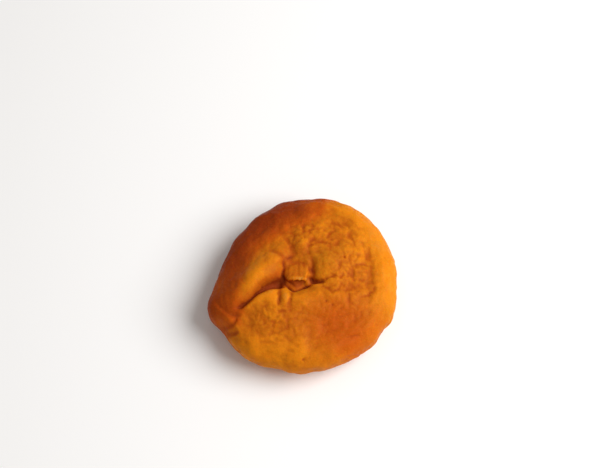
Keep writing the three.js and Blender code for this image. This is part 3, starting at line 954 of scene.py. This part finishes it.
class Finish:
    """A new material, and the one way its nodes are added."""

    def __init__(self, name):
        self.material = bpy.data.materials.new(name)
        self.material.use_nodes = True
        self.tree = self.material.node_tree
        self.tree.nodes.clear()

    def add(self, kind, settings=None, sockets=None, output=0):
        """Adds a node: its type, its settings, its sockets' values or links, and the output to use."""
        node = self.tree.nodes.new(kind)
        for name, value in (settings or {}).items():
            setattr(node, name, value)
        for name, value in (sockets or {}).items():
            if isinstance(value, Socket):
                self.tree.links.new(value.node.outputs[value.output], node.inputs[name])
            else:
                node.inputs[name].default_value = value
        return Socket(self, node, output)

    def math(self, operation, *values):
        return self.add("ShaderNodeMath", {"operation": operation}, dict(enumerate(values)))

    def scale(self, vector, share):
        """A colour or a vector times a number."""
        return self.add("ShaderNodeVectorMath", {"operation": "SCALE"}, {"Vector": vector, "Scale": share})

    def mix(self, share, plain, full):
        """One colour over another, by a share."""
        # A Mix node's inputs have the same names for every kind of value, so its colours go by number.
        return self.add("ShaderNodeMix", {"data_type": "RGBA"}, {0: share, 6: plain, 7: full}, 2)

    def noise(self, place, scale, detail, roughness=0.5):
        sockets = {"Vector": place, "Scale": scale, "Detail": detail, "Roughness": roughness}
        return self.add("ShaderNodeTexNoise", sockets=sockets, output="Fac")

    def surface(self, shader):
        """Puts a shader on the surface."""
        self.add("ShaderNodeOutputMaterial", sockets={"Surface": shader})
        return self.material


def opaque(colour):
    return (*colour, 1.0)


# The flesh's patterns, in repeats to the millimetre.
CLOUD_SCALE, MOTTLE_SCALE, KNOB_SCALE, PORE_SCALE, GRAIN_SCALE = 0.16, 0.55, 1.2, 1.9, 2.6
FLESH_ROUGHNESS = 0.44
RELIEF_HEIGHT = 0.3 * MM
GLOW_DEPTH = 2.5 * MM
GLOW_RADIUS = (1.0, 0.32, 0.08)


def flesh_colour(finish, colours, clouds, mottle, grain):
    """Amber with the other colours over it, painted light and painted shade among them, and how hollow each
    point is.
    """
    tint = finish.add("ShaderNodeAttribute", {"attribute_name": "tint"}, output="Color")
    parts = finish.add("ShaderNodeSeparateColor", sockets={0: tint})
    hollow_tone_and_shade, blush, gold, olive = parts, parts.also(1), parts.also(2), tint.also("Alpha")
    paint = {name: opaque(getattr(colours, name)) for name in PeachColours.__annotations__}

    golden = (gold * 0.9 + clouds.between(0.4, 0.66) * 0.4 + mottle * 0.9).between(0.0, 1.0)
    # Gold, partly painted light on the lit rim, lobes and crests.
    colour = finish.mix(golden, paint["amber"], paint["gold"])
    colour = finish.mix((gold - 1.0).between(0.0, 1.0), colour, paint["crumb"])
    colour = finish.mix((olive * 0.6 + mottle * 0.4).between(0.0, 1.0) * 0.8, colour, paint["olive"])
    # Redder where the blush channel is high: the real blush, and painted shade on the upper left side.
    red = (blush * 0.85 + (clouds - 0.5) * 0.4 + mottle * 0.3).between(0.1, 0.95)
    colour = finish.mix(red, colour, paint["blush"])
    # Painted shade: the dark red on the upper left side.
    colour = finish.mix((blush - 1.0 + mottle * 0.3).between(0.0, 0.9), colour, paint["cheek"])
    # Red-brown in the creases and folds: partly their deeper colour, partly painted shade.
    colour = finish.mix(hollow_tone_and_shade.between(0.02, 0.55) * 0.75, colour, paint["crease"])
    colour = finish.mix(hollow_tone_and_shade.between(0.5, 1.0), colour, paint["depth"])
    colour = finish.mix(grain.between(0.58, 0.8) * 0.3, colour, paint["gold"])
    return finish.scale(colour, (grain - 0.5) * 0.5 + mottle * 0.12 + 1.03), hollow_tone_and_shade


def flesh_finish(colours):
    """Dried flesh: amber to gold, red-brown in the folds, a little see-through, with painted light on the
    lit rim and crests and painted shade in the folds and on the upper left side.
    """
    finish = Finish("dried_flesh")
    place = finish.scale(finish.add("ShaderNodeTexCoord", output="Object"), 1 / MM)
    clouds = finish.noise(place, CLOUD_SCALE, 3.0)
    mottle = finish.noise(place, MOTTLE_SCALE, 4.0) - 0.5
    grain = finish.noise(place, GRAIN_SCALE, 4.0, 0.65)
    colour, hollow_tone_and_shade = flesh_colour(finish, colours, clouds, mottle, grain)

    sockets = {"Vector": place, "Scale": PORE_SCALE}
    pores = finish.add("ShaderNodeTexVoronoi", {"feature": "F1"}, sockets, "Distance")
    relief = grain * 0.3 + finish.noise(place, KNOB_SCALE, 2.0) + pores.between(0.0, 0.5) * 0.15
    sockets = {"Height": relief, "Strength": 0.5, "Distance": RELIEF_HEIGHT}
    bump = finish.add("ShaderNodeBump", sockets=sockets, output="Normal")
    sockets = {
        "Base Color": colour,
        "Roughness": FLESH_ROUGHNESS + (grain - 0.5) * 0.25 + hollow_tone_and_shade * 0.15 + mottle * 0.12,
        "Normal": bump,
        "Subsurface Weight": 0.3,
        "Subsurface Radius": GLOW_RADIUS,
        "Subsurface Scale": GLOW_DEPTH,
        "IOR": 1.42,
        "Specular IOR Level": 0.04,
    }
    flesh = finish.add("ShaderNodeBsdfPrincipled", {"subsurface_method": "RANDOM_WALK"}, sockets)
    return finish.surface(flesh)


def floor_finish(colour):
    """Matt pale paper with the faintest tooth."""
    finish = Finish("pale_paper")
    place = finish.add("ShaderNodeTexCoord", output="Object")
    tooth = finish.noise(place, 900.0, 2.0)
    shade = finish.mix(tooth * 0.04, opaque(colour), opaque(0.95 * part for part in colour))
    sockets = {"Base Color": shade, "Roughness": 0.9, "Specular IOR Level": 0.1}
    return finish.surface(finish.add("ShaderNodeBsdfPrincipled", sockets=sockets))


def number_property(name, description, default, **kind):
    return bpy.props.FloatProperty(name=name, description=description, default=default, min=0.0, **kind)


def colour_property(name, description, default):
    return bpy.props.FloatVectorProperty(
        name=name, description=description, default=default, size=3, subtype="COLOR", min=0.0, max=1.0
    )


LENGTH = {"unit": "LENGTH", "precision": 5}
SHARE = {"subtype": "FACTOR", "soft_max": 2.0}


class PeachSizes(bpy.types.PropertyGroup):
    """How big the peach is, and how its skin is cut and wrinkled."""

    width: number_property("Width", "Width of the fruit from end to end", HIGH.x - LOW.x, **LENGTH)
    square: number_property("Skin squares", "Width of the squares of its skin", 0.285 * MM, **LENGTH)
    creases: number_property("Creases", "Depth of the fine creases, where 1 is the usual", 1.0, **SHARE)
    wrinkles: number_property("Wrinkles", "How loose the skin is, where 1 is the usual", 1.0, **SHARE)
    wrinkle_spacing: number_property("Spacing", "How far apart its wrinkles are", 1.7 * MM, **LENGTH)
    rounds: bpy.props.IntProperty(
        name="Shrivelling", description="Rounds that the skin is given to shrivel", default=140, min=0
    )


class PeachColours(bpy.types.PropertyGroup):
    """The colours of the dried flesh, some of them laid as painted light and painted shade."""

    amber: colour_property("Amber", "Main colour of the dried flesh", (0.51, 0.134, 0.005))
    # Gold also serves as painted light on the rim towards the lamp, on lit lobes and on crests.
    gold: colour_property("Gold", "Colour of the rims and lobes that dried last", (0.66, 0.2, 0.006))
    # Blush also serves as painted shade on the upper left side.
    blush: colour_property("Blush", "Redder colour where the skin had its blush", (0.48, 0.088, 0.004))
    cheek: colour_property("Cheek", "Dark red of the cheek that faced the sun", (0.24, 0.03, 0.004))
    # Painted shade: the dark red laid on the upper left side and the left end, where shade falls.
    olive: colour_property("Olive", "Colour of the duller, greener patches", (0.44, 0.145, 0.006))
    crumb: colour_property("Crumbs", "Colour of the dry crumbs round the torn end", (0.56, 0.22, 0.028))
    # Creases and folds: partly the flesh's deeper colour there, partly painted shade.
    crease: colour_property("Creases", "Colour of the shallow creases", (0.36, 0.056, 0.004))
    depth: colour_property("Folds", "Colour down in the deepest folds", (0.24, 0.034, 0.005))


class StageSettings(bpy.types.PropertyGroup):
    """The floor, the camera and the light."""

    floor: colour_property("Floor", "Colour of the paper that the fruit lies on", (0.93, 0.93, 0.93))
    elevation: number_property("Camera", "How steeply it looks down", math.radians(68), subtype="ANGLE")
    lens: number_property("Lens", "Focal length of the camera in millimetres", 100.0, unit="CAMERA")
    lamp: number_property("Lamp", "Power of the soft lamp", 4.2, unit="POWER")
    daylight: number_property("Daylight", "Strength of the light from all round", 0.38)


# The point that the camera goes round, how much it takes in across there, the width of its film, and how
# far above and to the right of that point it looks, in millimetres.
CAMERA_TARGET = Vector((0.0005, 0.0, 0.009))
CAMERA_VIEW = 0.1697
FILM_WIDTH = 36.0
AIM_ABOVE = 13.9
AIM_RIGHT = 0.55
FLOOR_HALF = 1.6
DAYLIGHT_COLOUR = (1.0, 0.95, 0.90)
LAMP_PLACE = Vector((0.4, -0.02, 0.44))
LAMP_WIDTH = 0.50


def add_to_scene(context, name, data):
    made = bpy.data.objects.new(name, data)
    context.scene.collection.objects.link(made)
    return made


def set_camera(context, settings):
    """Sets up the camera, which looks down on the fruit from the front."""
    distance = CAMERA_VIEW / FILM_WIDTH * settings.lens
    look = Vector((0, math.cos(settings.elevation), -math.sin(settings.elevation)))
    camera = bpy.data.cameras.new("camera")
    camera.lens = settings.lens
    camera.clip_start = 0.01
    holder = add_to_scene(context, "camera", camera)
    holder.location = CAMERA_TARGET - look * distance
    # The fruit is a little left of the middle of the view and below it.
    aim = look.copy()
    aim.rotate(Matrix.Rotation(math.atan(AIM_ABOVE * MM / distance), 3, "X"))
    aim.rotate(Matrix.Rotation(-math.atan(AIM_RIGHT * MM / distance), 3, "Z"))
    holder.rotation_euler = aim.to_track_quat("-Z", "Y").to_euler()
    context.scene.camera = holder
    context.scene.view_settings.view_transform = "Standard"


def set_lights(context, settings):
    """Sets up the even daylight and the one soft lamp."""
    world = bpy.data.worlds.new("studio")
    world.use_nodes = True
    backdrop = world.node_tree.nodes["Background"]
    backdrop.inputs["Color"].default_value = opaque(DAYLIGHT_COLOUR)
    backdrop.inputs["Strength"].default_value = settings.daylight
    context.scene.world = world
    light = bpy.data.lights.new("key", "AREA")
    light.shape = "DISK"
    light.size = LAMP_WIDTH
    light.energy = settings.lamp
    holder = add_to_scene(context, "key", light)
    holder.location = LAMP_PLACE
    holder.rotation_euler = (-LAMP_PLACE).to_track_quat("-Z", "Y").to_euler()


class OBJECT_OT_peach_stage(bpy.types.Operator):
    """Lays the pale floor and sets up the camera and the soft light"""

    bl_idname = "object.peach_stage"
    bl_label = "Stage"

    def execute(self, context):
        settings = context.scene.peach_stage
        set_camera(context, settings)
        shape = bmesh.new()
        bmesh.ops.create_grid(shape, x_segments=4, y_segments=4, size=FLOOR_HALF)
        floor = add_to_scene(context, "floor", mesh_of(shape, "floor"))
        floor.data.materials.append(floor_finish(settings.floor))
        set_lights(context, settings)
        return {"FINISHED"}


class OBJECT_OT_peach_flesh(bpy.types.Operator):
    """Makes the dried peach: its cushion, folds, nub, wrinkles and finish"""

    bl_idname = "object.peach_flesh"
    bl_label = "Dried peach"

    def execute(self, context):
        sizes = context.scene.peach_sizes
        skin = Skin(one_skin(rough_shape(), round(sizes.square / MM, 4)))
        skin.co = skin.soften(skin.co, 3)
        torn = torn_end(skin.co)
        line = cut_skin(skin, sizes)
        shape_tint(skin, line, torn)

        # The middle of its box goes to the middle of the solid's, and its back to the floor.
        middle = (skin.co.max(0) + skin.co.min(0)) / 2
        wanted = (LOW + HIGH) / 2 / MM
        skin.co += (wanted.x - middle[0], wanted.y - middle[1], -skin.co[:, 2].min())
        skin.co *= MM * round(sizes.width / (HIGH.x - LOW.x), 6)
        skin.store()
        skin.mesh.name = "peach_flesh"
        skin.mesh.materials.clear()
        skin.mesh.materials.append(flesh_finish(context.scene.peach_colours))
        flesh = add_to_scene(context, "peach_flesh", skin.mesh)
        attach(flesh, "root")
        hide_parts(NODE)
        return {"FINISHED"}


class VIEW3D_PT_dried_peach(bpy.types.Panel):
    """Lists the sizes, the colours and the makers of the peach and its stage"""

    bl_label = "Dried Peach"
    bl_idname = "VIEW3D_PT_dried_peach"
    bl_space_type = "VIEW_3D"
    bl_region_type = "UI"
    bl_category = "Dried Peach"

    def draw(self, context):
        for group, kind in SETTINGS.items():
            for name in kind.__annotations__:
                self.layout.prop(getattr(context.scene, group), name)
        self.layout.operator(OBJECT_OT_peach_stage.bl_idname)
        self.layout.operator(OBJECT_OT_peach_flesh.bl_idname)


SETTINGS = {"peach_sizes": PeachSizes, "peach_colours": PeachColours, "peach_stage": StageSettings}
CLASSES = (*SETTINGS.values(), OBJECT_OT_peach_stage, OBJECT_OT_peach_flesh, VIEW3D_PT_dried_peach)


def register():
    for kind in CLASSES:
        bpy.utils.register_class(kind)
    for group, kind in SETTINGS.items():
        setattr(bpy.types.Scene, group, bpy.props.PointerProperty(type=kind))


def unregister():
    for group in SETTINGS:
        delattr(bpy.types.Scene, group)
    for kind in reversed(CLASSES):
        bpy.utils.unregister_class(kind)


def main():
    register()
    bpy.ops.object.peach_stage()
    bpy.ops.object.peach_flesh()


if __name__ == "__main__":
    main()
